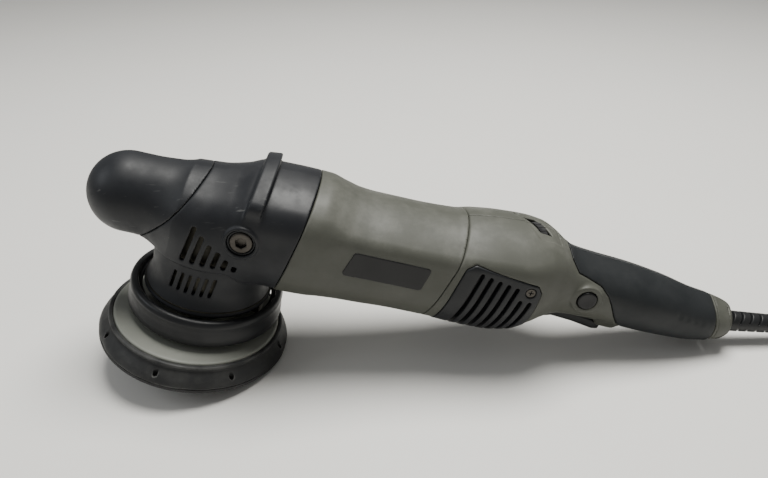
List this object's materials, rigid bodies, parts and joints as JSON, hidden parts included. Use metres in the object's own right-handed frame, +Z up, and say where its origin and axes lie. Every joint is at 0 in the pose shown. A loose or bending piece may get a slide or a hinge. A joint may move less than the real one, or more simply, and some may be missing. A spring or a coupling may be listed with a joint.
{
  "type": "dual action polisher",
  "caption": "Random-orbit car polisher with a soft palm knob, slim rear handle, offset round backing plate and a coiled mains cord, lying on its plate rim and tail.",
  "frame": {"origin": "centre of the tool's footprint box, on the surface that it rests on", "axes": "+X from the head to the cord, +Z up, the tool's mid-plane parallel to XZ"},
  "size_m": [0.6418, 0.1859, 0.1428],
  "materials": {
    "grey_housing": "satin moulded",
    "soft_cover": "soft-touch, scuffed",
    "black_plastic": "satin moulded",
    "grip_rubber": "matt soft-touch",
    "shroud_rubber": "satin",
    "urethane": "worn matt",
    "plate_grey": "satin",
    "hook_nylon": "hook and loop",
    "steel": "machined",
    "cast_alloy": "cast",
    "copper": "wound",
    "brass": "satin",
    "laminations": "stacked sheet",
    "carbon": "sintered",
    "board_green": "coated",
    "gloss_black": "polished",
    "cord_rubber": "satin",
    "bolt_steel": "worn"
  },
  "bodies": {
    "tool_body": {"head_cover": "soft_cover", "front_grip_cap": "soft_cover", "neck_cover": "soft_cover", "shroud_ring": "shroud_rubber", "gear_housing": "cast_alloy", "motor_housing": "grey_housing", "handle_shell_left": "grey_housing", "handle_shell_right": "grey_housing", "grip_left": "grip_rubber", "grip_right": "grip_rubber", "vent_grille_left": "black_plastic", "vent_grille_right": "black_plastic", "tail_cap": "grey_housing", "strain_relief": "cord_rubber", "spindle_bearing": "steel", "spindle_top_bearing": "steel", "bearing_retainer": "steel", "front_motor_bearing": "steel", "rear_motor_bearing": "steel", "field_core": "laminations", "field_coils": "copper", "brush_bracket": "black_plastic", "brush_holders": "brass", "carbon_brushes": "carbon", "brush_springs": "steel", "trigger_pin": "steel", "switch_body": "black_plastic", "speed_control": "black_plastic", "control_board": "board_green", "cord_clamp": "black_plastic", "side_label_left": "gloss_black", "side_label_right": "gloss_black", "side_handle_bolts": "bolt_steel", "side_socket_rings": "black_plastic", "grille_screws": "bolt_steel", "flange_screws": "steel", "cord_tube": "cord_rubber", "cord_coil": "cord_rubber", "plug": "cord_rubber"},
    "spindle": {"output_spindle": "steel", "bevel_wheel": "steel", "counterweight": "cast_alloy", "eccentric_bearing": "steel"},
    "armature": {"armature_shaft": "steel", "bevel_pinion": "steel", "cooling_fan": "black_plastic", "armature_core": "laminations", "armature_winding_front": "copper", "armature_winding_rear": "copper", "commutator": "copper"},
    "backing_plate": {"hook_face": "hook_nylon", "pad_body": "urethane", "plate_disc": "plate_grey", "plate_hub": "steel", "pad_bolt": "steel", "pad_spindle": "steel"},
    "trigger_paddle": {"trigger": "black_plastic"},
    "plunger": {"switch_plunger": "black_plastic"},
    "lock_pin": {"lock_button": "gloss_black"},
    "dial": {"speed_dial": "gloss_black"}
  },
  "joints": [
    {"name": "spindle_spin", "type": "hinge", "parent": "tool_body", "child": "spindle", "pos_m": [-0.1406, 0.007, 0.06323], "axis": [0.2445, 0, 0.9697], "continuous": true},
    {"name": "armature_spin", "type": "hinge", "parent": "tool_body", "child": "armature", "pos_m": [-0.05325, 0.007, 0.08246], "axis": [0.9697, 0, -0.2445], "continuous": true},
    {"name": "plate_spin", "type": "hinge", "parent": "spindle", "child": "backing_plate", "pos_m": [-0.15084, 0, 0.03487], "axis": [0.2445, 0, 0.9697], "continuous": true},
    {"name": "trigger_squeeze", "type": "hinge", "parent": "tool_body", "child": "trigger_paddle", "pos_m": [0.07988, 0.007, 0.03374], "axis": [0, -1, 0], "range_deg": [0, 6.5], "stiffness_Nm_per_rad": 0.6, "springref_deg": -11.46},
    {"name": "plunger_slide", "type": "slide", "parent": "tool_body", "child": "plunger", "axis": [0.2445, 0, 0.9697], "range_m": [0, 0.0032]},
    {"name": "lock_button_press", "type": "slide", "parent": "tool_body", "child": "lock_pin", "axis": [0, 1, 0], "range_m": [0, 0.003], "stiffness_N_per_m": 400, "springref_m": -0.002},
    {"name": "speed_dial_turn", "type": "hinge", "parent": "tool_body", "child": "dial", "pos_m": [0.07035, 0.007, 0.08183], "axis": [0.8562, 0.4695, -0.2158], "range_deg": [-130, 130]}
  ],
  "couplings": [
    {"joint": "armature_spin", "follows": "spindle_spin", "ratio": 3.8},
    {"joint": "plunger_slide", "follows": "trigger_squeeze", "m_per_rad": 0.0275}
  ]
}
